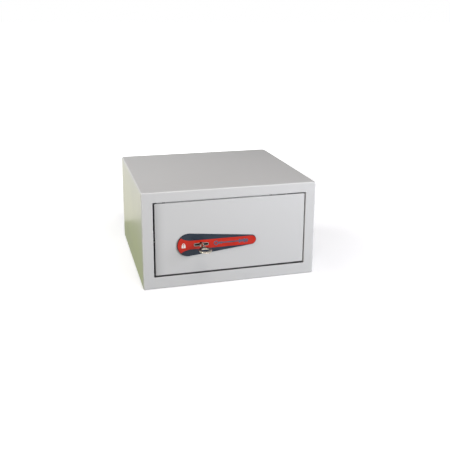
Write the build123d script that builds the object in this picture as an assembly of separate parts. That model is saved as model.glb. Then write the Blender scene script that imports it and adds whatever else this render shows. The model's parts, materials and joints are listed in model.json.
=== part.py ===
from build123d import *
import os
from math import sqrt

# Key-operated in-room safe. A welded sheet-steel cabinet has a flush steel door that swings on
# concealed pins at its right, and two round bolts at its left that a double-bitted key throws.
# A drop-shaped escutcheon with a metal keyhole rim covers the door's keyhole.
#
# Frame, in millimetres: +X to the right and +Z up for someone facing the door, +Y into the safe.
# The origin is on the surface that the safe stands on, under the middle of the cabinet.
# The safe is modelled closed and unlocked, with its key in the lock.

OVER = 1.0             # how far a cutter runs past what it cuts
SLIP = 0.05            # radial clearance of a pin or stud in its hole
CLEAR = 0.3            # clearance between pieces that move past each other

# ---- Cabinet
WIDTH, DEPTH, HEIGHT = 360.0, 330.0, 200.0
SHEET = 2.0            # thickness of the cabinet's sheet steel
BEND = 4.0             # outside radius of the four long folds
FRONT_BEND = 3.0       # outside radius of the fold round the front
LIP_BEND = 1.0         # outside radius of the fold round the opening
BORDER_SIDE, BORDER_TOP, BORDER_BOTTOM = 22.0, 21.0, 25.0
FRAME_LIP = 6.0        # how far the front frame's outer wall reaches back
FRAME_RETURN = 9.0     # how far the opening's own walls reach back
SEAM = 0.1             # gap round a welded-in panel
ANCHOR_R = 5.25        # holes for 10 mm anchor bolts
BASE_ANCHOR_X, BASE_ANCHOR_Y = 240.0, 180.0
BACK_ANCHOR_X, BACK_ANCHOR_Z = 220.0, 100.0
MAT_X, MAT_Y, MAT_THICK = 350.0, (-150.0, 161.0), 3.0

FRONT, BACK = -DEPTH / 2, DEPTH / 2
OPEN_X = WIDTH / 2 - BORDER_SIDE
OPEN_LOW, OPEN_HIGH = BORDER_BOTTOM, HEIGHT - BORDER_TOP
OPEN_MID = (OPEN_LOW + OPEN_HIGH) / 2
RETURN_BACK = FRONT + FRAME_RETURN

# ---- Door
DOOR_SET_BACK = 2.5
DOOR_THICK = 5.0
GAP_LEFT, GAP_RIGHT, GAP_END = 3.6, 1.7, 2.9
DOOR_FRONT = FRONT + DOOR_SET_BACK
DOOR_BACK = DOOR_FRONT + DOOR_THICK
DOOR_X = (GAP_LEFT - OPEN_X, OPEN_X - GAP_RIGHT)
DOOR_Z = (OPEN_LOW + GAP_END, OPEN_HIGH - GAP_END)
DOOR_EDGE = 0.5        # chamfer round the door's front

# ---- Door stops: strips behind the border, with rubber buffers
STOP_X, STOP_WIDTH = (-150.0, 100.0), 7.0
BUFFER_X, BUFFER_R = (-135.0, 85.0), 3.0

# ---- Hinge: vertical pins behind the door plate, set in from its right edge
HINGE_X, HINGE_Y = DOOR_X[1] - 30.0, DOOR_FRONT + 9.5
PIN_R, PIN_LENGTH, PIN_IN_BLOCK = 3.5, 29.0, 20.0
BUSH_BORE_R, BUSH_R, BUSH_FLANGE_R = 3.55, 5.5, 7.0
HINGE_BLOCK = (16.0, 24.0)     # width and height
BRACKET_WIDTH, BRACKET_THICK = 28.0, 3.0

# ---- Lock, round the key's axis
KEY_X, KEY_Z = -62.5, 87.0
CASE_X, CASE_Z = (-111.0, -30.0), (57.0, 117.0)
CASE_WALL, CASE_DEPTH, COVER_PLATE = 2.0, 17.0, 2.0
CASE_CORNER, CASE_POST_R = 5.0, 3.5
CASE_SCREW_R = 1.5
EAR_X, EAR_OUT, EAR_R = (-95.0, -45.0), 5.0, 5.0
CASE_BACK = DOOR_BACK + CASE_DEPTH
LOCK_COVER_BACK = CASE_BACK + COVER_PLATE
STUD_R = 2.0
NUT_ACROSS, NUT_HIGH = 7.0, 3.2
CURTAIN_R, JOURNAL_R = 6.0, 4.0

LEVER_PIVOT = (-39.5, 93.0)
LEVER_POST_R = 3.0
LEVER_COUNT, LEVER_THICK, LEVER_PITCH = 6, 1.2, 1.34
LEVER_FRONT = DOOR_BACK + 5.9
LEVER_BACK = LEVER_FRONT + LEVER_PITCH * LEVER_COUNT
LEVER_RING_R, LEVER_WINDOW_R, LEVER_EAR_R = 18.8, 14.9, 6.5
SPRING_THICK, SPRING_WIDE = 0.5, 0.8

# ---- Key
SHANK_R, TIP_R, COLLAR_R, SHOULDER_R = 3.0, 1.9, 4.0, 3.7
BIT_SPAN, BIT_THICK = 26.0, 2.6
BIT_Y = (DOOR_BACK + 2.4, CASE_BACK - 2.3)
KEY_CUTS = (3.0, 1.2, 3.8, 2.2, 4.4, 1.8)
COLLAR_Y = (-173.0, -170.6)
BOW_Y, BOW_WIDE, BOW_THICK = (-216.0, -185.0), 26.0, 3.0
BOW_HOLE = (7.4, 9.0)          # half width and half length

# ---- Boltwork
BOLT_R, SPIGOT_R = 8.0, 3.0
BOLT_X = (-150.0, -122.0)
BOLT_Y = DOOR_BACK + 12.0
BOLT_HEIGHTS = (60.0, 144.0)
GUIDE_X, GUIDE_HALF = (-146.5, -141.0), 12.0
BAR_THICK = 5.0
BAR_Y = (DOOR_BACK + 3.0, DOOR_BACK + 21.0)
LOCK_BOLT_Y = (DOOR_BACK + 2.5, DOOR_BACK + 5.5)
LOCK_BOLT_HALF, FORK_INSIDE = 20.0, 13.8
LOCK_BOLT_BODY = (-90.0, -76.5)
STUMP_X, STUMP_HALF = (-84.8, -81.2), 1.8
TAIL_Z = (80.0, 94.0)

# ---- Inner cover over the boltwork
COVER_X, COVER_Z = (-148.0, 106.0), (44.0, 160.0)
COVER_BACK = DOOR_BACK + 24.5
COVER_SHEET, COVER_FLANGE = 1.0, 9.0
COVER_BEND, COVER_CORNER = 3.0, 4.0
COVER_STUD_X = (-136.0, -18.0, 100.0)

# ---- Escutcheon: two round ends and their common tangents
ESC_BIG_X, ESC_BIG_R = -88.0, 23.5
ESC_NOSE_X, ESC_NOSE_R = 42.5, 10.0
ESC_THICK, ESC_EDGE = 3.0, 1.6
ESC_FRONT = DOOR_FRONT - ESC_THICK
BAND_HALF, BAND_RIM = 9.0, 1.2
BAND_FLARE_X, BAND_FLARE_R = -82.5, 36.6
INLAY_DEPTH, INLAY_PROUD = 0.5, 0.15
BAND_FRONT = ESC_FRONT - INLAY_PROUD
MARK_THICK = 0.25
PADLOCK_X = -98.5
ESC_PINS = ((-88.0, 99.5), (26.0, 87.0))
ESC_PIN_R, PIN_CAP_R = 2.0, 4.0
SLOT_HIGH = 3.8
SLEEVE_WALL = 0.6
RIM_SIZE, RIM_R, RIM_PROUD = (30.8, 6.4), 5.0, 0.8


# ---------------------------------------------------------------- helpers
def block(x, y, z):
    """A box between two values on each axis, each given as (low, high)."""
    mid = [(low + high) / 2 for low, high in (x, y, z)]
    return Pos(*mid) * Box(x[1] - x[0], y[1] - y[0], z[1] - z[0])


def rectangle(x, z):
    """A rectangle between two values on each axis."""
    return Pos((x[0] + x[1]) / 2, (z[0] + z[1]) / 2) * Rectangle(x[1] - x[0], z[1] - z[0])


def rounded(x, z, radius):
    """A rectangle between two values on each axis, with round corners."""
    middle = Pos((x[0] + x[1]) / 2, (z[0] + z[1]) / 2)
    return middle * RectangleRounded(x[1] - x[0], z[1] - z[0], radius)


def around(middle, half):
    return (middle - half, middle + half)


def grown(span, by):
    return (span[0] - by, span[1] + by)


def sheet_xz(sketch, y_front, y_back):
    """A sketch drawn in x and z, as a solid between two y planes."""
    return extrude(Plane.XZ.offset(-y_back) * sketch, amount=y_back - y_front)


def sheet_xy(sketch, z_low, z_high):
    return extrude(Plane.XY.offset(z_low) * sketch, amount=z_high - z_low)


def rod_x(y, z, radius, x_low, x_high):
    return Pos(x_low, y, z) * (Rot(0, 90, 0) * extrude(Circle(radius), amount=x_high - x_low))


def rod_y(x, z, radius, y_front, y_back):
    return sheet_xz(Pos(x, z) * Circle(radius), y_front, y_back)


def rod_z(x, y, radius, z_low, z_high):
    return sheet_xy(Pos(x, y) * Circle(radius), z_low, z_high)


def group(solids):
    """Separate solids that share one node."""
    return Compound(children=[solid for item in solids for solid in item.solids()])


def front_edges(shape):
    return shape.faces().sort_by(Axis.Y)[0].edges()


def back_edges(shape):
    return shape.faces().sort_by(Axis.Y)[-1].edges()


def round_edges(shape):
    return shape.edges().filter_by(GeomType.CIRCLE)


def mirrored_low(shape):
    """The same piece at the opening's lower edge."""
    return mirror(shape, Plane.XY.offset(OPEN_MID))


# ---------------------------------------------------------------- cabinet
def profile(inset=0.0):
    """The cabinet's outline seen from the front, moved in by inset."""
    half = WIDTH / 2 - inset
    return rounded((-half, half), (inset, HEIGHT - inset), max(BEND - inset, 0.5))


def opening(grow=0.0):
    return rounded(around(0, OPEN_X + grow), (OPEN_LOW - grow, OPEN_HIGH + grow), 1.0 + grow)


def base_anchors():
    return [(sx * BASE_ANCHOR_X / 2, sy * BASE_ANCHOR_Y / 2) for sx in (-1, 1) for sy in (-1, 1)]


def cabinet_wrap():
    """Both sides, the top and the bottom, folded from one sheet."""
    wrap = sheet_xz(profile() - profile(SHEET), FRONT + FRAME_LIP, BACK)
    for x, y in base_anchors():
        wrap -= rod_z(x, y, ANCHOR_R, -OVER, SHEET + OVER)
    return wrap


def opening_edges(ring):
    """The edges round the opening on the front face."""
    return ring.faces().sort_by(Axis.Y)[0].inner_wires()[0].edges()


def front_frame():
    """The border round the door: a folded ring with an outer lip and the opening's own walls."""
    ring = fillet(front_edges(sheet_xz(profile(), FRONT, FRONT + FRAME_LIP)), FRONT_BEND)
    hollow = sheet_xz(profile(SHEET), FRONT + SHEET, FRONT + FRAME_LIP)
    walls = sheet_xz(opening(SHEET), FRONT + SHEET, RETURN_BACK)
    ring = ring - hollow + walls - sheet_xz(opening(), FRONT - OVER, RETURN_BACK + OVER)
    ring = fillet(opening_edges(ring), LIP_BEND)
    low, high = grown((OPEN_LOW, OPEN_HIGH), SHEET + OVER)
    return ring - rod_z(HINGE_X, HINGE_Y, BUSH_R + CLEAR, low, high)


def back_panel():
    panel = sheet_xz(profile(SHEET + SEAM), BACK - SHEET, BACK)
    for x in around(0, BACK_ANCHOR_X / 2):
        panel -= rod_y(x, BACK_ANCHOR_Z, ANCHOR_R, BACK - SHEET - OVER, BACK + OVER)
    return panel


def door_stop():
    """A flat strip welded behind the opening's upper wall, which the closed door meets."""
    return block(STOP_X, (RETURN_BACK, RETURN_BACK + SHEET), (OPEN_HIGH - STOP_WIDTH, OPEN_HIGH + SHEET))


def stop_buffers():
    """Four rubber discs stuck to the stops."""
    discs = []
    for z in grown((OPEN_LOW, OPEN_HIGH), -STOP_WIDTH / 2):
        for x in BUFFER_X:
            disc = rod_y(x, z, BUFFER_R, DOOR_BACK + CLEAR, RETURN_BACK)
            discs.append(fillet(front_edges(disc), 0.5))
    return group(discs)


def hinge_bracket():
    """An angle welded behind the border, which holds the upper bush."""
    low = OPEN_HIGH + SHEET
    wide = around(HINGE_X, BRACKET_WIDTH / 2)
    front = FRONT + SHEET
    shelf = block(wide, (front, HINGE_Y + 13), (low, low + BRACKET_THICK))
    leg = block(wide, (front, front + BRACKET_THICK), (low, HEIGHT - SHEET - 2.5))
    angle = fillet((shelf + leg).edges().filter_by(Axis.Z).sort_by(Axis.Y)[-2:], 4)
    return angle - rod_z(HINGE_X, HINGE_Y, BUSH_R + SLIP, low - OVER, low + BRACKET_THICK + OVER)


def hinge_bush():
    """A flanged nylon bush: its flange lies between the door and the opening's wall."""
    top = OPEN_HIGH + SHEET + BRACKET_THICK
    flange = rod_z(HINGE_X, HINGE_Y, BUSH_FLANGE_R, DOOR_Z[1] + CLEAR, OPEN_HIGH)
    sleeve = rod_z(HINGE_X, HINGE_Y, BUSH_R, OPEN_HIGH, top)
    return flange + sleeve - rod_z(HINGE_X, HINGE_Y, BUSH_BORE_R, DOOR_Z[1], top + OVER)


def interior_mat():
    """A felt mat on the cabinet's floor, punched for the anchor bolts' heads."""
    corner = 5.0
    mat = sheet_xy(rounded(around(0, MAT_X / 2), MAT_Y, corner), SHEET, SHEET + MAT_THICK)
    for x, y in base_anchors():
        mat -= rod_z(x, y, 2 * ANCHOR_R + 1, SHEET - OVER, SHEET + MAT_THICK + OVER)
    return mat


# ---------------------------------------------------------------- door
def keyhole(grow=0.0):
    """A slot for the bits with a round hole for the shank, wider all round by grow."""
    slot = RectangleRounded(BIT_SPAN + 1.4 + 2 * grow, SLOT_HIGH + 2 * grow, 0.8 + grow)
    return Pos(KEY_X, KEY_Z) * (slot + Circle(SHANK_R + 1.0 + grow))


def door_plate():
    outline = rounded(DOOR_X, DOOR_Z, 0.8)
    door = chamfer(front_edges(sheet_xz(outline, DOOR_FRONT, DOOR_BACK)), DOOR_EDGE)
    door -= sheet_xz(keyhole(SLEEVE_WALL + SEAM), DOOR_FRONT - OVER, DOOR_BACK + OVER)
    for x, z in ESC_PINS:
        door -= rod_y(x, z, ESC_PIN_R + SEAM, DOOR_FRONT - OVER, DOOR_BACK + OVER)
    return door


def hinge_block():
    """A steel block welded to the back of the door, bored for the upper pin."""
    wide, high = HINGE_BLOCK
    top = DOOR_Z[1]
    body = block(around(HINGE_X, wide / 2), (DOOR_BACK, HINGE_Y + 7.5), (top - high, top))
    body = fillet(body.edges().filter_by(Axis.Z).sort_by(Axis.Y)[-2:], 3)
    return body - rod_z(HINGE_X, HINGE_Y, PIN_R + SLIP, top - high - OVER, top + OVER)


def hinge_pin():
    low = DOOR_Z[1] - PIN_IN_BLOCK
    return chamfer(round_edges(rod_z(HINGE_X, HINGE_Y, PIN_R, low, low + PIN_LENGTH)), 0.6)


# ---------------------------------------------------------------- escutcheon
def escutcheon_outline(inset=0.0):
    """A drop shape: a big round end, a small one, and the two lines that touch both."""
    big, nose = ESC_BIG_R - inset, ESC_NOSE_R - inset
    lean = (big - nose) / (ESC_NOSE_X - ESC_BIG_X)
    rise = sqrt(1 - lean * lean)
    top = [(ESC_BIG_X + big * lean, big * rise), (ESC_NOSE_X + nose * lean, nose * rise)]
    low = [(x, -z) for x, z in top]
    outline = Curve() + [
        Line(top[0], top[1]),
        ThreePointArc(top[1], (ESC_NOSE_X + nose, 0), low[1]),
        Line(low[1], low[0]),
        ThreePointArc(low[0], (ESC_BIG_X - big, 0), top[0]),
    ]
    return Pos(0, KEY_Z) * make_face(outline)


def band_outline(inset):
    """The band along the escutcheon, which flares in two arcs to meet the big round end."""
    left = ESC_BIG_X - ESC_BIG_R - OVER
    right = ESC_NOSE_X + ESC_NOSE_R + OVER
    reach = BAND_FLARE_X - left
    above = []
    for back in (0.0, reach / 2, reach):
        flare = BAND_FLARE_R - sqrt(BAND_FLARE_R**2 - back**2)
        above.append((BAND_FLARE_X - back, BAND_HALF + flare))
    below = [(x, -z) for x, z in reversed(above)]
    outline = Curve() + [
        Line((right, BAND_HALF), above[0]),
        ThreePointArc(*above),
        Line(above[2], below[0]),
        ThreePointArc(*below),
        Line(below[2], (right, -BAND_HALF)),
        Line((right, -BAND_HALF), (right, BAND_HALF)),
    ]
    return escutcheon_outline(inset) & Pos(0, KEY_Z) * make_face(outline)


def escutcheon_plate():
    """The moulded plate, with a pocket for the band and an opening for the keyhole rim."""
    plate = fillet(front_edges(sheet_xz(escutcheon_outline(), ESC_FRONT, DOOR_FRONT)), ESC_EDGE)
    plate -= sheet_xz(band_outline(BAND_RIM), ESC_FRONT - OVER, ESC_FRONT + INLAY_DEPTH)
    return plate - sheet_xz(keyhole(SLEEVE_WALL + SEAM), ESC_FRONT - OVER, DOOR_FRONT + OVER)


def escutcheon_band():
    """The coloured inlay, which stands a little proud of the plate."""
    band = sheet_xz(band_outline(BAND_RIM + SLIP), BAND_FRONT, ESC_FRONT + INLAY_DEPTH)
    return band - sheet_xz(keyhole(SLEEVE_WALL + SEAM), ESC_FRONT - OVER, ESC_FRONT + OVER)


def raised_mark(sketch):
    """A sign printed on the band, drawn round the origin."""
    return sheet_xz(sketch, BAND_FRONT - MARK_THICK, BAND_FRONT)


def padlock_mark():
    """A plain padlock sign at the band's left end."""
    body = Pos(0, -2.2) * RectangleRounded(8.0, 6.0, 0.9)
    hole = Pos(0, -2.0) * Circle(0.9) + Pos(0, -3.2) * Rectangle(0.7, 1.8)
    bend = (Pos(0, 1.6) * (Circle(3.0) - Circle(1.8))) & (Pos(0, 3.2) * Rectangle(8.0, 3.2))
    sign = body + bend - hole
    for x in (-2.4, 2.4):
        sign += Pos(x, 1.0) * Rectangle(1.2, 1.4)
    return raised_mark(Pos(PADLOCK_X, KEY_Z) * sign)


def key_mark():
    """A plain key sign on the rest of the band, pointing right."""
    sign = Pos(-32.0, 0) * (Circle(5.0) - Circle(2.5)) + Pos(4.0, 0) * Rectangle(63.0, 2.8)
    for x in (-24.4, -20.6):
        sign += Pos(x, 0) * Rectangle(2.0, 5.6)
    for x, high in ((17.0, 8.4), (22.0, 6.0), (27.0, 9.0), (32.0, 7.0)):
        sign += Pos(x, 0) * Rectangle(3.4, high)
    return raised_mark(Pos(0, KEY_Z) * sign)


def keyhole_rim():
    """The metal rim: a raised flange on the escutcheon and a sleeve through it and the door."""
    wide, high = RIM_SIZE
    flange = Pos(KEY_X, KEY_Z) * (RectangleRounded(wide, high, high / 2 - 0.4) + Circle(RIM_R))
    face = BAND_FRONT - RIM_PROUD
    rim = fillet(front_edges(sheet_xz(flange, face, BAND_FRONT)), 0.35)
    rim += sheet_xz(keyhole(SLEEVE_WALL), BAND_FRONT, DOOR_BACK)
    return rim - sheet_xz(keyhole(), face - OVER, DOOR_BACK + OVER)


def escutcheon_pins():
    """Two push-in pins from the escutcheon through the door, with spring caps behind."""
    pins = []
    for x, z in ESC_PINS:
        cap = rod_y(x, z, PIN_CAP_R, DOOR_BACK, DOOR_BACK + 0.9)
        pins.append(rod_y(x, z, ESC_PIN_R, DOOR_FRONT, DOOR_BACK + 1.8) + cap)
    return group(pins)


# ---------------------------------------------------------------- lock
def case_outline(inset=0.0):
    return rounded(grown(CASE_X, -inset), grown(CASE_Z, -inset), 3.0 - inset / 2)


def case_corners():
    return [(x, z) for x in grown(CASE_X, -CASE_CORNER) for z in grown(CASE_Z, -CASE_CORNER)]


def case_ears():
    return [(x, z) for x in EAR_X for z in grown(CASE_Z, EAR_OUT)]


def lock_case():
    """The pan that holds the levers, with four corner posts and four ears for its studs."""
    floor = (DOOR_BACK, DOOR_BACK + CASE_WALL)
    through = grown(floor, 0.5)
    case = sheet_xz(case_outline(), DOOR_BACK, CASE_BACK)
    case -= sheet_xz(case_outline(CASE_WALL), floor[1], CASE_BACK + OVER)
    for x, z in case_corners():
        case += rod_y(x, z, CASE_POST_R, floor[1], CASE_BACK)
        case -= rod_y(x, z, CASE_SCREW_R, floor[1] + 3, CASE_BACK + OVER)
    for x, z in case_ears():
        wall = min(CASE_Z, key=lambda edge: abs(edge - z))
        case += block(around(x, EAR_R), floor, sorted((wall, z)))
        case += rod_y(x, z, EAR_R, *floor)
        case -= rod_y(x, z, STUD_R + 0.2, *through)
    entry = Rectangle(BIT_SPAN + 1.6, 4.2) + Circle(CURTAIN_R + 2 * SLIP)
    case -= sheet_xz(Pos(KEY_X, KEY_Z) * entry, *through)
    case -= rod_y(*ESC_PINS[0], PIN_CAP_R + 0.5, *through)
    side = grown((CASE_X[0], CASE_X[0] + CASE_WALL), 0.5)
    return case - block(side, grown(LOCK_BOLT_Y, CLEAR), grown(TAIL_Z, 0.4))


def lock_cover():
    cover = sheet_xz(case_outline(), CASE_BACK, LOCK_COVER_BACK)
    cover -= rod_y(KEY_X, KEY_Z, JOURNAL_R + 2 * SLIP, CASE_BACK - OVER, LOCK_COVER_BACK + OVER)
    for x, z in case_corners():
        cover -= rod_y(x, z, CASE_SCREW_R + 0.2, CASE_BACK - OVER, LOCK_COVER_BACK + OVER)
    return cover


def pan_screw(x, z):
    """An M3 pan-head screw through the lock's cover, with a slotted head behind it."""
    head_r, head, length, slot = 2.8, 1.8, 10.0, 0.7
    seat = LOCK_COVER_BACK
    cap = rod_y(x, z, head_r, seat, seat + head)
    cap = fillet(back_edges(cap), head * 0.45)
    cap -= block(around(x, head_r), (seat + head - slot, seat + head + OVER), around(z, slot / 2))
    return cap + rod_y(x, z, CASE_SCREW_R - SLIP, seat - length, seat)


def studs(places, length):
    return group([rod_y(x, z, STUD_R, DOOR_BACK, DOOR_BACK + length) for x, z in places])


def nuts(places, seat):
    """M4 hexagonal nuts."""
    ring = RegularPolygon(NUT_ACROSS / 2, 6, major_radius=False) - Circle(STUD_R + SLIP)
    return group([sheet_xz(Pos(x, z) * ring, seat, seat + NUT_HIGH) for x, z in places])


def lever_post():
    return rod_y(*LEVER_PIVOT, LEVER_POST_R, DOOR_BACK + CASE_WALL, CASE_BACK)


def lock_levers():
    """Six flat levers on one post. Each has a window round the key and a gate for the stump."""
    arm = rounded((-106.0, -76.0), around(KEY_Z, 10.0), 2.0)
    gate = rounded((-104.4, -79.6), around(KEY_Z, 4.4), 0.6)
    lever = Pos(KEY_X, KEY_Z) * Circle(LEVER_RING_R) + arm + Pos(*LEVER_PIVOT) * Circle(LEVER_EAR_R)
    lever -= Pos(KEY_X, KEY_Z) * Circle(LEVER_WINDOW_R) + gate
    lever -= Pos(*LEVER_PIVOT) * Circle(LEVER_POST_R + SLIP)
    fronts = [LEVER_FRONT + LEVER_PITCH * n for n in range(LEVER_COUNT)]
    return group([sheet_xz(lever, y, y + LEVER_THICK) for y in fronts])


def lever_springs():
    """One flat spring for each lever, from its rim to the case's top wall."""
    path = Polyline((-47.7, 99.2), (-56.0, 108.5), (-84.0, 114.5))
    leaf = trace(path, line_width=SPRING_THICK)
    margin = (LEVER_THICK - SPRING_WIDE) / 2
    fronts = [LEVER_FRONT + LEVER_PITCH * n + margin for n in range(LEVER_COUNT)]
    return group([sheet_xz(leaf, y, y + SPRING_WIDE) for y in fronts])


def lock_curtain():
    """The slotted barrel round the key, which turns with it behind the keyhole."""
    front, shoulder, end = DOOR_BACK + CLEAR, CASE_BACK - 0.4, CASE_BACK - 2.0
    barrel = rod_y(KEY_X, KEY_Z, CURTAIN_R, front, shoulder)
    barrel += rod_y(KEY_X, KEY_Z, JOURNAL_R, shoulder, LOCK_COVER_BACK)
    barrel -= rod_y(KEY_X, KEY_Z, SHANK_R + 0.15, front - OVER, end)
    barrel -= rod_y(KEY_X, KEY_Z, TIP_R + 0.2, end - OVER, LOCK_COVER_BACK + OVER)
    slot = around(KEY_Z, BIT_THICK / 2 + 0.2)
    return barrel - block(around(KEY_X, CURTAIN_R + OVER), (front - OVER, end), slot)


# ---------------------------------------------------------------- key
def key_bits():
    """Both bits with their six cuts, in x and y."""
    bits = rectangle(around(KEY_X, BIT_SPAN / 2), BIT_Y)
    step = (BIT_Y[1] - BIT_Y[0]) / len(KEY_CUTS)
    for n, cut in enumerate(KEY_CUTS):
        length = (BIT_Y[0] + step * n, BIT_Y[0] + step * (n + 1))
        for side in (-1, 1):
            tip = KEY_X + side * BIT_SPAN / 2
            bits -= rectangle(sorted((tip, tip - side * cut)), length)
    return sheet_xy(bits, KEY_Z - BIT_THICK / 2, KEY_Z + BIT_THICK / 2)


def key_bow():
    """The ring that fingers hold: an oval with one large hole."""
    middle, rear_wall = (BOW_Y[0] + BOW_Y[1]) / 2, 1.0
    outer = Ellipse(BOW_WIDE / 2, (BOW_Y[1] - BOW_Y[0]) / 2)
    hole = Pos(0, -rear_wall) * Ellipse(*BOW_HOLE)
    plan = Pos(KEY_X, middle) * (outer - hole)
    bow = sheet_xy(plan, KEY_Z - BOW_THICK / 2, KEY_Z + BOW_THICK / 2)
    return fillet(bow.faces().filter_by(Axis.Z).edges(), 1.0)


def key():
    """One nickel-plated steel key: bow, shoulder, collar, shank, bits and pilot tip."""
    shank = rod_y(KEY_X, KEY_Z, SHANK_R, BOW_Y[1] - 1.5, BIT_Y[1])
    shoulder = fillet(round_edges(rod_y(KEY_X, KEY_Z, SHOULDER_R, BOW_Y[1] - 2.0, BOW_Y[1] + 2.5)), 0.6)
    collar = fillet(round_edges(rod_y(KEY_X, KEY_Z, COLLAR_R, *COLLAR_Y)), 0.5)
    tip = rod_y(KEY_X, KEY_Z, TIP_R, BIT_Y[1], CASE_BACK - 0.6)
    return key_bow() + shoulder + shank + collar + key_bits() + tip


# ---------------------------------------------------------------- boltwork
def locking_bolt(z):
    """A round bolt with a bevelled tip and a spigot through the bar."""
    bolt = rod_x(BOLT_Y, z, BOLT_R, *BOLT_X)
    bolt = chamfer(bolt.faces().sort_by(Axis.X)[0].edges(), 1.2)
    return bolt + rod_x(BOLT_Y, z, SPIGOT_R, BOLT_X[1], BOLT_X[1] + BAR_THICK + 3.6)


def bolt_bar():
    """The upright bar that joins both bolts to the lock bolt."""
    seat, end = BOLT_X[1], BOLT_X[1] + BAR_THICK
    bar = block((seat, end), BAR_Y, grown(BOLT_HEIGHTS, 11.0))
    bar = fillet(bar.edges().filter_by(Axis.X), 2)
    for z in BOLT_HEIGHTS:
        bar -= rod_x(BOLT_Y, z, SPIGOT_R + SLIP, seat - OVER, end + OVER)
    return bar


def bolt_nuts():
    """M6 hexagonal nuts on the bolts' spigots."""
    across, high = 10.0, 2.8
    ring = RegularPolygon(across / 2, 6, major_radius=False) - Circle(SPIGOT_R + SLIP)
    nut = Rot(0, 90, 0) * extrude(ring, amount=high)
    return group([Pos(BOLT_X[1] + BAR_THICK, BOLT_Y, z) * nut for z in BOLT_HEIGHTS])


def lock_bolt():
    """The lock's own sliding plate: a tail to the bar, a fork round the key, and the stump."""
    right = CASE_X[1] - CASE_WALL - 2.0
    shape = rectangle(LOCK_BOLT_BODY, around(KEY_Z, LOCK_BOLT_HALF))
    shape += rectangle((BOLT_X[1] + BAR_THICK, LOCK_BOLT_BODY[0]), TAIL_Z)
    for side in (-1, 1):
        arm = sorted((KEY_Z + side * FORK_INSIDE, KEY_Z + side * LOCK_BOLT_HALF))
        shape += rectangle((LOCK_BOLT_BODY[1], right), arm)
    stump = block(STUMP_X, (LOCK_BOLT_Y[1], LEVER_BACK), around(KEY_Z, STUMP_HALF))
    return sheet_xz(shape, *LOCK_BOLT_Y) + stump


def bolt_guide(z):
    """A block welded to the door, in which a bolt slides."""
    guide = block(GUIDE_X, (DOOR_BACK, BOLT_Y + BOLT_R + 2.5), around(z, GUIDE_HALF))
    guide = fillet(guide.edges().filter_by(Axis.X).sort_by(Axis.Y)[-2:], 4)
    return guide - rod_x(BOLT_Y, z, BOLT_R + 0.08, *grown(GUIDE_X, OVER))


# ---------------------------------------------------------------- inner cover
def cover_stud_places():
    return [(x, z) for x in COVER_STUD_X for z in grown(COVER_Z, COVER_FLANGE / 2)]


def cover_pan(inset):
    """The cover's raised part as a solid, moved in by inset."""
    outline = rounded(grown(COVER_X, -inset), grown(COVER_Z, -inset), COVER_CORNER - inset)
    pan = sheet_xz(outline, DOOR_BACK, COVER_BACK - inset)
    return fillet(back_edges(pan), COVER_BEND - inset)


def boltwork_cover():
    """The pressed pan over the lock and the bolts, with a flange on three sides."""
    flange = rectangle((COVER_X[0], COVER_X[1] + COVER_FLANGE), grown(COVER_Z, COVER_FLANGE))
    cover = cover_pan(0) + sheet_xz(flange, DOOR_BACK, DOOR_BACK + COVER_SHEET)
    cover -= cover_pan(COVER_SHEET)
    notch = BOLT_R + 1.0
    side = (COVER_X[0] - OVER, COVER_X[0] + 3 * COVER_SHEET)
    for z in BOLT_HEIGHTS:
        cover -= block(side, (DOOR_BACK - OVER, BOLT_Y), around(z, notch))
        cover -= rod_x(BOLT_Y, z, notch, *side)
    for x, z in cover_stud_places():
        cover -= rod_y(x, z, STUD_R + 0.2, DOOR_BACK - OVER, DOOR_BACK + COVER_SHEET + OVER)
    return cover


# ---------------------------------------------------------------- the whole safe
def nodes():
    bolts_low, bolts_high = BOLT_HEIGHTS
    return {
        "cabinet_wrap": cabinet_wrap(),
        "front_frame": front_frame(),
        "back_panel": back_panel(),
        "door_stop_upper": door_stop(),
        "door_stop_lower": mirrored_low(door_stop()),
        "stop_buffers": stop_buffers(),
        "hinge_bracket_upper": hinge_bracket(),
        "hinge_bracket_lower": mirrored_low(hinge_bracket()),
        "hinge_bush_upper": hinge_bush(),
        "hinge_bush_lower": mirrored_low(hinge_bush()),
        "interior_mat": interior_mat(),
        "door_plate": door_plate(),
        "hinge_block_upper": hinge_block(),
        "hinge_block_lower": mirrored_low(hinge_block()),
        "hinge_pin_upper": hinge_pin(),
        "hinge_pin_lower": mirrored_low(hinge_pin()),
        "escutcheon_plate": escutcheon_plate(),
        "escutcheon_band": escutcheon_band(),
        "escutcheon_padlock_mark": padlock_mark(),
        "escutcheon_key_mark": key_mark(),
        "escutcheon_pins": escutcheon_pins(),
        "keyhole_rim": keyhole_rim(),
        "lock_case": lock_case(),
        "lock_cover": lock_cover(),
        "lock_cover_screws": group([pan_screw(x, z) for x, z in case_corners()]),
        "lock_case_studs": studs(case_ears(), 7.0),
        "lock_case_nuts": nuts(case_ears(), DOOR_BACK + CASE_WALL),
        "lever_post": lever_post(),
        "bolt_guide_upper": bolt_guide(bolts_high),
        "bolt_guide_lower": bolt_guide(bolts_low),
        "boltwork_cover": boltwork_cover(),
        "cover_studs": studs(cover_stud_places(), 6.0),
        "cover_nuts": nuts(cover_stud_places(), DOOR_BACK + COVER_SHEET),
        "lock_levers": lock_levers(),
        "lever_springs": lever_springs(),
        "lock_curtain": lock_curtain(),
        "key": key(),
        "lock_bolt": lock_bolt(),
        "bolt_bar": bolt_bar(),
        "bolt_nuts": bolt_nuts(),
        "locking_bolt_upper": locking_bolt(bolts_high),
        "locking_bolt_lower": locking_bolt(bolts_low),
    }


os.makedirs("parts", exist_ok=True)
for name, shape in nodes().items():
    export_step(shape, f"parts/{name}.step")
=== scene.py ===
import bmesh
import bpy
import json
import math
import random
from mathutils import Matrix, Vector, noise


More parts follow.
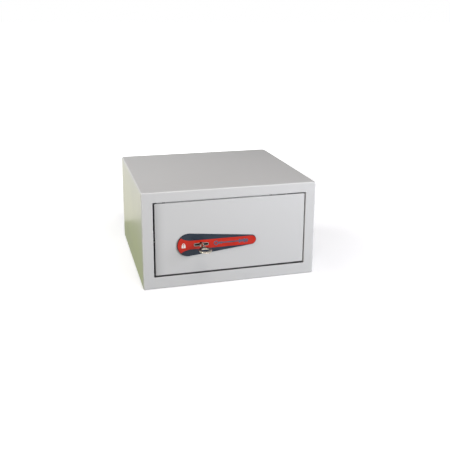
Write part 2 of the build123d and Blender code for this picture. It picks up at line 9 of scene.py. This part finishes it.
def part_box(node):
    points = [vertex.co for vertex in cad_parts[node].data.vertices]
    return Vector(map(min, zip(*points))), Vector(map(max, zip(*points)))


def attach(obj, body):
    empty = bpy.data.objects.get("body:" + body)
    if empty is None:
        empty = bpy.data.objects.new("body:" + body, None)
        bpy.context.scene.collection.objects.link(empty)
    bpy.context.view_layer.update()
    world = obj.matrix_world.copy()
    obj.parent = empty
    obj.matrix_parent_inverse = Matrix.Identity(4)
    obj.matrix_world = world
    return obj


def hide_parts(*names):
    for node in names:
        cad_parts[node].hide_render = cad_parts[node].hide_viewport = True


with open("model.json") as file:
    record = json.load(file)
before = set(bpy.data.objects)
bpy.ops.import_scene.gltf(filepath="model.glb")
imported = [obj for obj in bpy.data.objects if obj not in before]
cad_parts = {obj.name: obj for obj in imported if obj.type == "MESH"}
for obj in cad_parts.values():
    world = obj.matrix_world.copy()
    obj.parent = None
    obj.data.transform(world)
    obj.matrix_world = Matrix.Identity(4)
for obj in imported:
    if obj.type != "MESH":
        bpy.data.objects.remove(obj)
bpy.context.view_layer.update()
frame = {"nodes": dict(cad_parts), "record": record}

NODES = frame["nodes"]
CABINET = (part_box("front_frame")[0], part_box("cabinet_wrap")[1])   # the box without the door and key
ANCHORS = next(m["dims"] for m in frame["record"]["mounts"] if m["name"] == "base_anchor_holes")

# Floor and world
CARD_INSET = 0.01                   # from the cabinet's outline to the black card under it, which is painted shade
OLIVE_REFLECTION_END = 0.28                   # how far back the olive painted reflection on the left side reaches, before the pale one
BELOW, HORIZON, OVERHEAD = (0.16, 0.16, 0.15, 1), (1.0, 1.0, 1.0, 1), (0.07, 0.07, 0.07, 1)

# Painted highlight on the folds, painted shade in the gaps and the keyhole
CABINET_FOLD, DOOR_FOLD = 0.0038, 0.0012    # width of the painted highlight along a fold
DOOR_GAP = 0.0029                   # under the door
SILL_START = 0.0004                 # how far behind the front the painted shade on the sill starts
EDGE_SHADOW_REACH = 0.024                  # how far the painted shadow runs from the door's opening edge
RECESS_SHADE_DEPTH = 0.0002                # how far behind its front the keyhole turns dark: painted shade in its recess
# These nodes carry painted shade that the rest of their slot lacks, so each has a material of its own: the
# frame's sill under the door, and the keyhole rim inside its recess.
OWN_LOOK = {"keyhole_rim": "nickel_keyhole", "front_frame": "frame_paint"}

# Welds and the felt mat
BEAD_RADIUS, BEAD_END_GAP = 0.0013, 0.002   # the door's beads, and what they leave free at their ends
TACK_RADIUS, TACK_LENGTH = 0.0018, 0.018    # the back panel's tacks
PUDDLE, BEAD_STEP = 0.0017, 0.0003  # length of one weld puddle, and between the mesh's rings
MAT_CORNER, MAT_STEP = 0.005, 0.0035        # the corners' radius, and between the outline's points
PUNCH_RADIUS = 0.0115               # the mat's holes, round the base's anchor holes


# ---------------------------------------------------------------- camera, floor and light
def link(obj):
    """Puts an object in the scene."""
    bpy.context.scene.collection.objects.link(obj)
    return obj


def make_camera():
    """The camera that fits the cabinet's corners in the photograph."""
    azimuth, elevation, roll = (math.radians(a) for a in (-15.25, 14.33, 0.24))
    focal_px, centre_up_px, image_px = 627.7, 50.0, 450.0
    back = Vector((math.sin(azimuth) * math.cos(elevation), -math.cos(azimuth) * math.cos(elevation),
                   math.sin(elevation)))
    level = Vector((math.cos(azimuth), math.sin(azimuth), 0))
    upright = back.cross(level)
    right = math.cos(roll) * level + math.sin(roll) * upright
    up = math.cos(roll) * upright - math.sin(roll) * level
    cam = link(bpy.data.objects.new("camera", bpy.data.cameras.new("camera")))
    turn = Matrix((right, up, back)).transposed().to_4x4()
    cam.matrix_world = Matrix.Translation((-0.3272, -1.3140, 0.5303)) @ turn
    cam.data.sensor_width = 36.0
    cam.data.lens = 36.0 * focal_px / image_px
    cam.data.shift_y = -centre_up_px / image_px
    cam.data.clip_start, cam.data.clip_end = 0.01, 200.0
    bpy.context.scene.camera = cam


def area_light(name, place, aim, size, power, colour):
    """A rectangular light that faces a point."""
    data = bpy.data.lights.new(name, "AREA")
    data.shape, data.size, data.size_y = "RECTANGLE", size[0], size[1]
    data.energy, data.color = power, colour
    lamp = link(bpy.data.objects.new(name, data))
    lamp.location = place
    lamp.rotation_euler = (Vector(aim) - Vector(place)).to_track_quat("-Z", "Y").to_euler()
    return lamp


def flat_card(name, x, y, z, material):
    """A level rectangle between two values of x and of y."""
    mesh = bpy.data.meshes.new(name)
    corners = [(x[0], y[0], z), (x[1], y[0], z), (x[1], y[1], z), (x[0], y[1], z)]
    mesh.from_pydata(corners, [], [(0, 1, 2, 3)])
    mesh.materials.append(material)
    card = link(bpy.data.objects.new(name, mesh))
    return card


def glow(name, colour):
    """A plain emission that lights nothing by itself and is only seen in reflections."""
    material = bpy.data.materials.new(name)
    material.use_nodes = True
    tree = material.node_tree
    tree.nodes.clear()
    light, out = tree.nodes.new("ShaderNodeEmission"), tree.nodes.new("ShaderNodeOutputMaterial")
    light.inputs["Color"].default_value = (*colour, 1)
    tree.links.new(light.outputs[0], out.inputs["Surface"])
    material.cycles.emission_sampling = "NONE"
    return material


def make_stage():
    """A pale floor, whiter further away, a black card under the safe as painted shade, and two glowing
    cards seen only in reflections on the cabinet's left side: painted reflections of an olive table and a
    pale wall."""
    floor = Look("floor_paper", {"Base Color": (0.93, 0.93, 0.93, 1), "Roughness": 0.9,
                                 "Emission Color": (1, 1, 1, 1)})
    away = floor.node("ShaderNodeVectorMath", {0: floor.place()}, operation="LENGTH").outputs["Value"]
    floor.feed(floor.shader.inputs["Emission Strength"], floor.remap(away, 0.15, 1.5, 0.30, 1.0))
    flat_card("floor", (-40, 40), (-40, 40), 0.0, floor.material).visible_diffuse = False
    shade = Look("painted_shade_under_safe", {"Base Color": (0.02, 0.02, 0.02, 1), "Roughness": 1.0})
    across, along = ((CABINET[0][i] + CARD_INSET, CABINET[1][i] - CARD_INSET) for i in (0, 1))
    # A black card just inside the base, seen through its holes: painted shade under the safe.
    flat_card("painted_shade_under_safe", across, along, 0.0004, shade.material)
    # Two glowing cards, seen only in reflections on the left side: painted reflections.
    for name, y, colour in (("painted_reflection_olive", (-0.20, OLIVE_REFLECTION_END), (0.37, 0.46, 0.04)),
                            ("painted_reflection_pale", (OLIVE_REFLECTION_END, 3.0), (1.17, 1.165, 0.83))):
        card = flat_card(name, (-0.40, CABINET[0][0]), y, 0.0006, glow(name, colour))
        card.visible_camera = card.visible_diffuse = card.visible_shadow = False
        card.visible_transmission = card.visible_volume_scatter = False


def make_world():
    """A studio: white along the horizon, dim overhead, and the floor's bounce below."""
    world = bpy.data.worlds.new("studio")
    bpy.context.scene.world = world
    world.use_nodes = True
    tree = world.node_tree
    sky = tree.nodes["Background"]
    place = tree.nodes.new("ShaderNodeTexCoord")
    split = tree.nodes.new("ShaderNodeSeparateXYZ")
    rise = tree.nodes.new("ShaderNodeMapRange")
    ramp = tree.nodes.new("ShaderNodeValToRGB")
    rise.inputs["From Min"].default_value = -1.0
    tree.links.new(place.outputs["Generated"], split.inputs[0])
    tree.links.new(split.outputs["Z"], rise.inputs["Value"])
    tree.links.new(rise.outputs[0], ramp.inputs[0])
    tree.links.new(ramp.outputs[0], sky.inputs["Color"])
    stops = ramp.color_ramp.elements
    stops[0].position, stops[0].color = 0.48, BELOW
    stops[1].position, stops[1].color = 0.62, OVERHEAD
    for height in (0.49, 0.54):
        stops.new(height).color = HORIZON
    sky.inputs["Strength"].default_value = 1.0


def make_lights():
    """Lights in front of the door, over the top and behind the back. Powers are in watts."""
    door, top, back = (0.0, -0.16, 0.1), (0.0, 0.0, 0.2), (0.0, 0.165, 0.1)
    low = area_light("key_low", (1.05, -1.27, 0.52), door, (0.6, 0.6), 18.2, (0.87, 0.90, 1.0))
    area_light("key_far", (1.20, -1.90, 1.30), door, (1.0, 1.0), 9.0, (1.0, 1.0, 0.98))
    area_light("front_top", (0.0, -0.80, 1.20), door, (0.5, 0.3), 4.9, (1.0, 0.91, 0.88))
    area_light("graze_left", (-1.35, -0.70, 0.35), door, (0.4, 0.4), 4.3, (1.0, 0.98, 0.95))
    area_light("over_near", (-0.35, 0.10, 1.00), top, (0.5, 0.5), 1.8, (1.0, 0.97, 1.0))
    area_light("over_back", (-0.75, 0.55, 0.95), top, (0.5, 0.5), 5.2, (1.0, 1.0, 1.0))
    behind = area_light("fill_back", (0.10, 1.50, 0.10), back, (1.0, 0.2), 6.0, (1.0, 1.0, 1.0))
    low.visible_glossy = behind.visible_glossy = False


# ---------------------------------------------------------------- materials
class Look:
    """A Principled material, built one node at a time. Lengths in it are in metres."""

    def __init__(self, name, sockets):
        self.material = bpy.data.materials.new(name)
        self.material.use_nodes = True
        self.tree = self.material.node_tree
        self.shader = self.tree.nodes["Principled BSDF"]
        for socket, value in sockets.items():
            self.shader.inputs[socket].default_value = value

    def node(self, kind, inputs=None, **settings):
        made = self.tree.nodes.new(kind)
        for name, value in settings.items():
            setattr(made, name, value)
        for name, value in (inputs or {}).items():
            self.feed(made.inputs[name], value)
        return made

    def feed(self, socket, value):
        if isinstance(value, bpy.types.NodeSocket):
            self.tree.links.new(value, socket)
        else:
            socket.default_value = value

    def place(self):
        return self.node("ShaderNodeTexCoord").outputs["Object"]

    def axis(self, name):
        return self.node("ShaderNodeSeparateXYZ", {0: self.place()}).outputs[name]

    def stretched(self, scale):
        """The place, scaled apart along each axis."""
        return self.node("ShaderNodeMapping", {"Vector": self.place(), "Scale": scale}).outputs[0]

    def noise(self, scale, detail=2.0, rough=0.5, at=None, twist=0.0):
        inputs = {"Vector": at or self.place(), "Scale": scale, "Detail": detail, "Roughness": rough,
                  "Distortion": twist}
        return self.node("ShaderNodeTexNoise", inputs).outputs["Fac"]

    def cells(self, scale):
        inputs = {"Vector": self.place(), "Scale": scale}
        return self.node("ShaderNodeTexVoronoi", inputs, feature="F1").outputs["Distance"]

    def calc(self, operation, a, b=0.0, clamp=False):
        made = self.node("ShaderNodeMath", {0: a, 1: b}, operation=operation, use_clamp=clamp)
        return made.outputs[0]

    def remap(self, value, low, high, to_low=0.0, to_high=1.0):
        inputs = {"Value": value, "From Min": low, "From Max": high, "To Min": to_low, "To Max": to_high}
        return self.node("ShaderNodeMapRange", inputs, interpolation_type="SMOOTHSTEP").outputs[0]

    def mix(self, share, a, b):
        made = self.node("ShaderNodeMix", data_type="RGBA")
        for socket, value in zip((made.inputs[0], made.inputs[6], made.inputs[7]), (share, a, b)):
            self.feed(socket, value if not isinstance(value, tuple) else (*value, 1))
        return made.outputs[2]

    def relief(self, height, depth, before=None):
        """A bump of that depth in metres."""
        made = self.node("ShaderNodeBump", {"Height": height, "Distance": depth, "Strength": 1.0})
        if before is not None:
            self.feed(made.inputs["Normal"], before)
        return made.outputs[0]

    def wire(self, **outputs):
        """Feeds the shader, and gives the finished material."""
        names = {"colour": "Base Color", "rough": "Roughness", "normal": "Normal"}
        for name, value in outputs.items():
            self.feed(self.shader.inputs[names[name]], value)
        return self.material


def box_edge(look, low, high, reach):
    """1 along the edges of a box and 0 further than reach from them, the mask for a painted highlight along
    each fold.
    The upright edges show it most."""
    near = []
    for name, lo, hi in zip("XYZ", low, high):
        at = look.axis(name)
        near.append(look.calc("MINIMUM", look.calc("SUBTRACT", at, lo), look.calc("SUBTRACT", hi, at)))
    pairs = [look.calc("ADD", look.calc("MAXIMUM", near[a], near[b]), spare)
             for a, b, spare in ((0, 1, 0.0), (1, 2, 0.35 * reach), (0, 2, 0.2 * reach))]
    closest = look.calc("MINIMUM", look.calc("MINIMUM", pairs[0], pairs[1]), pairs[2])
    return look.remap(closest, reach, 0.0)


def sill_shade_mask(look, front, height, half_width):
    """1 on the level wall under the door, behind its front edge: the mask for painted shade in the gap."""
    under = look.remap(look.axis("Z"), height + 0.0012, height + 0.0004)
    above = look.remap(look.axis("Z"), height - 0.006, height - 0.005)
    inside = look.remap(look.calc("ABSOLUTE", look.axis("X")), half_width + 0.003, half_width)
    behind = look.remap(look.axis("Y"), front, front + 0.0012)
    return look.calc("MULTIPLY", look.calc("MULTIPLY", under, above), look.calc("MULTIPLY", inside, behind))


def opening_edge_shadow(look, edge, reach):
    """1 at the door's opening edge, falling off away from it: the mask for a painted shadow beside the gap.
    """
    away = look.calc("DIVIDE", look.calc("SUBTRACT", look.axis("X"), edge), reach, clamp=True)
    return look.calc("POWER", look.calc("SUBTRACT", 1.0, away), 2.0)


def powder_coat(name, tone, low, high, fold, sill=None, edge_shadow=None):
    """Light grey powder coat: fine orange peel, faint clouding, and a painted highlight along each fold,
    patchy and a little glossier. It may have painted shade on the sill under the door, or a painted shadow
    along the door's opening edge."""
    look = Look(name, {"IOR": 1.5})
    clouds = look.noise(6.0, 3.0)
    specks = look.noise(900.0, 1.0)
    edge = box_edge(look, low, high, fold)
    # Patchy band along the folds: its paler colour is a painted highlight, its lower roughness is wear.
    wear_and_highlight = look.calc("MULTIPLY", edge, look.remap(look.noise(45.0, 4.0, 0.6), 0.30, 0.70, 0.55, 1.0))
    darker = tuple(0.965 * c for c in tone)
    highlight_tone = tuple(min(1.0, 1.5 * c) for c in tone)
    colour = look.mix(clouds, darker, tone)
    colour = look.mix(look.remap(specks, 0.62, 0.8, 0.0, 0.25), colour, darker)
    # Painted highlight along the folds.
    colour = look.mix(wear_and_highlight, colour, highlight_tone)
    if sill is not None:
        # Painted shade on the sill under the door.
        colour = look.mix(sill_shade_mask(look, *sill), colour, tuple(0.14 * c for c in tone))
    if edge_shadow is not None:
        # Painted shadow along the door's opening edge.
        shadow_share = look.calc("MULTIPLY", opening_edge_shadow(look, *edge_shadow), 0.30)
        colour = look.mix(shadow_share, colour, tuple(0.05 * c for c in tone))
    rough = look.calc("ADD", look.remap(clouds, 0.3, 0.7, 0.30, 0.36), look.calc("MULTIPLY", wear_and_highlight, -0.06))
    peel = look.relief(look.noise(420.0, 2.0, 0.4), 0.00004)
    peel = look.relief(specks, 0.00001, peel)
    return look.wire(colour=colour, rough=rough, normal=peel)


def zinc(name):
    """Bright zinc plate: soft spangle and faint yellowish stains."""
    look = Look(name, {"Metallic": 1.0})
    spangle = look.cells(260.0)
    stain = look.noise(45.0, 4.0, 0.6)
    colour = look.mix(spangle, (0.60, 0.61, 0.62), (0.70, 0.71, 0.71))
    colour = look.mix(look.remap(stain, 0.5, 0.75, 0.0, 0.5), colour, (0.62, 0.60, 0.50))
    rough = look.remap(look.noise(300.0, 3.0), 0.3, 0.7, 0.28, 0.42)
    return look.wire(colour=colour, rough=rough, normal=look.relief(look.noise(700.0, 3.0), 0.00001))


def turned_steel(name):
    """Ground bar with fine rings round its length."""
    look = Look(name, {"Metallic": 1.0})
    rings = look.noise(1.0, 3.0, 0.7, look.stretched((9000.0, 60.0, 60.0)))
    colour = look.mix(rings, (0.58, 0.58, 0.57), (0.74, 0.74, 0.73))
    rough = look.remap(rings, 0.3, 0.7, 0.18, 0.34)
    return look.wire(colour=colour, rough=rough, normal=look.relief(rings, 0.000006))


def nickel(name, tone, shade_from=None):
    """Polished nickel plate with hairline scratches. Behind a given depth it is painted dark and made
    rougher: painted shade in a recess.
    """
    look = Look(name, {"Metallic": 1.0})
    hair = look.noise(1.0, 4.0, 0.7, look.stretched((5000.0, 400.0, 5000.0)))
    dull = look.noise(120.0, 3.0)
    colour = look.mix(look.remap(dull, 0.4, 0.7), tone, tuple(0.8 * c for c in tone))
    rough = look.remap(hair, 0.35, 0.65, 0.10, 0.22)
    if shade_from is not None:
        # Painted shade inside the keyhole: dark and rougher behind the depth.
        recess_shade = look.remap(look.axis("Y"), shade_from, shade_from + 0.0007)
        colour = look.mix(recess_shade, colour, (0.012, 0.011, 0.010))
        rough = look.calc("ADD", rough, look.calc("MULTIPLY", recess_shade, 0.35))
    return look.wire(colour=colour, rough=rough, normal=look.relief(hair, 0.000004))


def brass(name):
    """Rolled brass: fine grain along its length, browner in patches."""
    look = Look(name, {"Metallic": 1.0})
    grain = look.noise(1.0, 4.0, 0.6, look.stretched((300.0, 4000.0, 4000.0)))
    tarnish = look.noise(90.0, 4.0, 0.6)
    colour = look.mix(grain, (0.74, 0.54, 0.25), (0.84, 0.65, 0.35))
    colour = look.mix(look.remap(tarnish, 0.5, 0.75, 0.0, 0.6), colour, (0.46, 0.33, 0.16))
    rough = look.remap(grain, 0.3, 0.7, 0.24, 0.40)
    return look.wire(colour=colour, rough=rough, normal=look.relief(grain, 0.000006))


def blued_spring(name):
    """Tempered spring strip, blue to straw-grey."""
    look = Look(name, {"Metallic": 1.0})
    heat = look.noise(160.0, 3.0)
    colour = look.mix(heat, (0.10, 0.12, 0.19), (0.24, 0.22, 0.24))
    return look.wire(colour=colour, rough=look.remap(heat, 0.3, 0.7, 0.25, 0.40))


def moulded(name, tone, rough, texture_depth=0.00001):
    """Moulded plastic or rubber with a fine matt texture and a little dust."""
    look = Look(name, {"IOR": 1.46})
    dust = look.noise(220.0, 4.0, 0.6)
    colour = look.mix(look.remap(dust, 0.45, 0.8, 0.0, 0.35), tone, tuple(min(1.0, c + 0.06) for c in tone))
    roughness = look.remap(dust, 0.3, 0.7, rough - 0.05, rough + 0.08)
    texture = look.relief(look.noise(1500.0, 2.0), texture_depth)
    return look.wire(colour=colour, rough=roughness, normal=texture)


def glossy_enamel(name, tone, shade):
    """Glossy moulded plastic with a faint ripple and fine wipe marks."""
    look = Look(name, {"IOR": 1.32})
    clouds = look.noise(40.0, 3.0)
    wipes = look.noise(1.0, 4.0, 0.7, look.stretched((400.0, 2500.0, 6000.0)))
    colour = look.mix(look.remap(clouds, 0.3, 0.7), shade, tone)
    rough = look.remap(wipes, 0.35, 0.65, 0.14, 0.26)
    return look.wire(colour=colour, rough=rough, normal=look.relief(look.noise(260.0, 2.0), 0.000012))


def needle_felt(name):
    """Charcoal needle felt: tangled fibres, lighter flecks and lint."""
    look = Look(name, {"Sheen Weight": 0.35, "Sheen Roughness": 0.6, "IOR": 1.4})
    fibres = look.noise(1400.0, 5.0, 0.7, twist=2.5)
    flecks = look.noise(2600.0, 3.0, 0.6, twist=1.5)
    patches = look.noise(14.0, 3.0)
    colour = look.mix(fibres, (0.030, 0.031, 0.034), (0.085, 0.086, 0.092))
    colour = look.mix(look.remap(flecks, 0.62, 0.78, 0.0, 0.6), colour, (0.26, 0.26, 0.27))
    colour = look.mix(look.remap(patches, 0.4, 0.7, 0.0, 0.25), colour, (0.10, 0.10, 0.105))
    rough = look.remap(fibres, 0.2, 0.8, 0.86, 0.98)
    return look.wire(colour=colour, rough=rough, normal=look.relief(fibres, 0.0005))


def make_materials():
    """One Blender material for each of the record's slots."""
    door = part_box("door_plate")
    sill = (CABINET[0][1] + SILL_START, door[0][2] - DOOR_GAP, door[1][0])
    keyhole_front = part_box("keyhole_rim")[0][1]
    grey = (0.600, 0.602, 0.590)
    slate, red = (0.023, 0.033, 0.050), (0.58, 0.020, 0.006)
    return {
        "cabinet_paint": powder_coat("cabinet_paint", grey, *CABINET, CABINET_FOLD),
        "frame_paint": powder_coat("frame_paint", grey, *CABINET, CABINET_FOLD, sill=sill),
        "door_paint": powder_coat("door_paint", grey, *door, DOOR_FOLD, edge_shadow=(door[0][0], EDGE_SHADOW_REACH)),
        "plain_steel": zinc("plain_steel"),
        "bolt_steel": turned_steel("bolt_steel"),
        "nickel": nickel("nickel", (0.60, 0.56, 0.48)),
        "nickel_keyhole": nickel("nickel_keyhole", (0.30, 0.28, 0.25), keyhole_front + RECESS_SHADE_DEPTH),
        "brass": brass("brass"),
        "spring_steel": blued_spring("spring_steel"),
        "nylon": moulded("nylon", (0.12, 0.12, 0.12), 0.45),
        "pin_plastic": moulded("pin_plastic", (0.02, 0.02, 0.022), 0.4),
        "buffer_rubber": moulded("buffer_rubber", (0.025, 0.025, 0.025), 0.7, 0.00003),
        "felt": needle_felt("felt"),
        "escutcheon_slate": glossy_enamel("escutcheon_slate", slate, (0.018, 0.027, 0.042)),
        "escutcheon_red": glossy_enamel("escutcheon_red", red, (0.48, 0.018, 0.007)),
        "mark_white": glossy_enamel("mark_white", (0.86, 0.84, 0.78), (0.74, 0.72, 0.67)),
        "mark_slate": glossy_enamel("mark_slate", (0.10, 0.11, 0.16), (0.07, 0.08, 0.12)),
    }


def dress_nodes(looks):
    """Gives each CAD node its slot's material, or its own kind of it."""
    for part in frame["record"]["subparts"]:
        mesh = NODES[part["node"]].data
        mesh.materials.clear()
        mesh.materials.append(looks[OWN_LOOK.get(part["node"], part["material_slot"])])


# ---------------------------------------------------------------- pieces the CAD leaves out
def shown_piece(name, mesh, body, slot):
    """A piece that rides on a body and takes that slot's finish."""
    mesh.materials.append(LOOKS[slot])
    piece = link(bpy.data.objects.new(name, mesh))
    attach(piece, body)
    return piece


def skin(build, rows):
    """Faces between closed rows of vertices, one row after another."""
    count = len(rows[0])
    for low, high in zip(rows, rows[1:]):
        for i in range(count):
            j = (i + 1) % count
            build.faces.new((low[i], low[j], high[j], high[i]))


def loops_to_mesh(name, rings):
    """Skins rings of points and caps both ends."""
    build = bmesh.new()
    rows = [[build.verts.new(p) for p in ring] for ring in rings]
    skin(build, rows)
    build.faces.new(rows[0][::-1])
    build.faces.new(rows[-1])
    bmesh.ops.recalc_face_normals(build, faces=build.faces)
    mesh = bpy.data.meshes.new(name)
    build.to_mesh(mesh)
    build.free()
    mesh.shade_smooth()
    return mesh


def weld_bead(name, body, slot, ends, sides, radius=BEAD_RADIUS):
    """A fillet weld in an inside corner: overlapping puddles along a line, no two beads alike. Each ring is
    a quarter circle between the corner's two sides, with its centre sunk into the corner."""
    start, end = Vector(ends[0]), Vector(ends[1])
    out_a, out_b = Vector(sides[0]), Vector(sides[1])
    length = (end - start).length
    phase = random.Random(name).random()
    count = max(12, int(length / BEAD_STEP))
    arc_steps = 6
    rings = []
    for i in range(count + 1):
        t = i / count
        taper = min(1.0, 0.25 + 4.0 * min(t, 1 - t) * length / (3 * radius))
        lump = 0.86 + 0.14 * abs(math.sin(math.pi * (t * length / PUDDLE + phase)))
        wander = 1 + 0.06 * noise.noise(start * 900 + Vector((t * 9, 0, 0)))
        size = radius * taper * lump * wander
        centre = start.lerp(end, t)
        ring = [centre - 0.3 * radius * (out_a + out_b)]
        for step in range(arc_steps + 1):
            turn = math.radians(90 * step / arc_steps)
            ring.append(centre + size * (math.cos(turn) * out_a + math.sin(turn) * out_b))
        rings.append(ring)
    return shown_piece(name, loops_to_mesh(name, rings), body, slot)


def door_block_welds(node, door_back):
    """An upright bead down each side of a block that stands on the door's back."""
    low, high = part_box(node)
    for end, x, way in (("low", low[0], -1), ("high", high[0], 1)):
        ends = ((x, door_back, low[2] + BEAD_END_GAP), (x, door_back, high[2] - BEAD_END_GAP))
        weld_bead(f"weld_{node}_{end}", "door", "door_paint", ends, ((way, 0, 0), (0, 1, 0)))


def back_tack(name, ends, sides):
    """A short bead between the back panel and the cabinet."""
    weld_bead(name, "cabinet", "cabinet_paint", ends, sides, TACK_RADIUS)


def make_welds():
    """Beads beside the blocks on the door's back, and tacks round the back panel."""
    door_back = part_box("door_plate")[1][1]
    for end in ("upper", "lower"):
        door_block_welds(f"hinge_block_{end}", door_back)
        door_block_welds(f"bolt_guide_{end}", door_back)
    low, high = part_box("back_panel")
    inner, half, forward = low[1], TACK_LENGTH / 2, (0, -1, 0)
    for index, z in enumerate((0.040, 0.100, 0.160)):
        for side, x, way in (("left", low[0], 1), ("right", high[0], -1)):
            ends = ((x, inner, z - half), (x, inner, z + half))
            back_tack(f"weld_back_{side}_{index}", ends, ((way, 0, 0), forward))
    for index, x in enumerate((-0.110, 0.0, 0.110)):
        for side, z, way in (("base", low[2], 1), ("roof", high[2], -1)):
            ends = ((x - half, inner, z), (x + half, inner, z))
            back_tack(f"weld_back_{side}_{index}", ends, ((0, 0, way), forward))


def rounded_rectangle(low, high, radius, step):
    """Points round a rectangle with round corners, about one step apart."""
    arc_steps = 6
    points = []
    corners = ((high[0], high[1], 0), (low[0], high[1], 90), (low[0], low[1], 180), (high[0], low[1], 270))
    for x, y, first in corners:
        cx = x - math.copysign(radius, x - (low[0] + high[0]) / 2)
        cy = y - math.copysign(radius, y - (low[1] + high[1]) / 2)
        for k in range(arc_steps + 1):
            turn = math.radians(first + 90 * k / arc_steps)
            points.append(Vector((cx + radius * math.cos(turn), cy + radius * math.sin(turn), 0)))
    outline = []
    for a, b in zip(points, points[1:] + points[:1]):
        pieces = max(1, round((b - a).length / step))
        outline += [a.lerp(b, i / pieces) for i in range(pieces)]
    return outline


def circle(centre, radius, count):
    """Points round a level circle."""
    turns = [math.tau * k / count for k in range(count)]
    return [centre + radius * Vector((math.cos(t), math.sin(t), 0)) for t in turns]


def mat_loops(low, high):
    """The mat's outline and its holes, each with its centre and the way into the felt from its edge."""
    middle = Vector(((low[0] + high[0]) / 2, (low[1] + high[1]) / 2, 0))
    loops = [(rounded_rectangle(low, high, MAT_CORNER, MAT_STEP), middle, -1)]
    apart_x, apart_y = ANCHORS["spacing_x_mm"] / 2000, ANCHORS["spacing_y_mm"] / 2000
    for x in (-apart_x, apart_x):
        for y in (-apart_y, apart_y):
            centre = Vector((x, y, 0))
            loops.append((circle(centre, PUNCH_RADIUS, 48), centre, 1))
    return loops


def ragged_row(build, loop, height, share, inset):
    """One level of a cut edge, set into the felt by the inset and by up to half a millimetre more."""
    points, centre, way = loop
    row = []
    for p in points:
        ragged = 0.00025 * (1 + noise.noise(p * 700 + Vector((0, 0, share * 3))))
        inwards = (p - centre).normalized() * way
        row.append(build.verts.new(p + inwards * (inset + ragged) + Vector((0, 0, height))))
    return row


def closed_edges(build, row):
    """The edges round a closed row of vertices."""
    return [build.edges.get((row[i], row[(i + 1) % len(row)])) for i in range(len(row))]


def make_felt_mat():
    """The needle-felt mat: a cut sheet with soft, slightly ragged edges and four punched holes."""
    low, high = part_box("interior_mat")
    thick = high[2] - low[2]
    # Each level's share of the thickness, and how far its edge is set in.
    layers = ((0.0, 0.0007), (0.35, 0.0001), (0.65, 0.0002), (0.9, 0.0007), (1.0, 0.0015))
    build = bmesh.new()
    lids = ([], [])
    for loop in mat_loops(low, high):
        rows = [ragged_row(build, loop, low[2] + share * thick, share, inset) for share, inset in layers]
        skin(build, rows)
        for lid, row in zip(lids, (rows[0], rows[-1])):
            lid += closed_edges(build, row)
    for lid in lids:
        bmesh.ops.triangle_fill(build, use_beauty=True, edges=lid)
    bmesh.ops.recalc_face_normals(build, faces=build.faces)
    mesh = bpy.data.meshes.new("felt_mat")
    build.to_mesh(mesh)
    build.free()
    mat = shown_piece("felt_mat", mesh, "cabinet", "felt")
    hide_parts("interior_mat")


make_camera()
make_stage()
make_world()
make_lights()
LOOKS = make_materials()
dress_nodes(LOOKS)
make_welds()
make_felt_mat()

bpy.context.scene.view_settings.view_transform = "Standard"
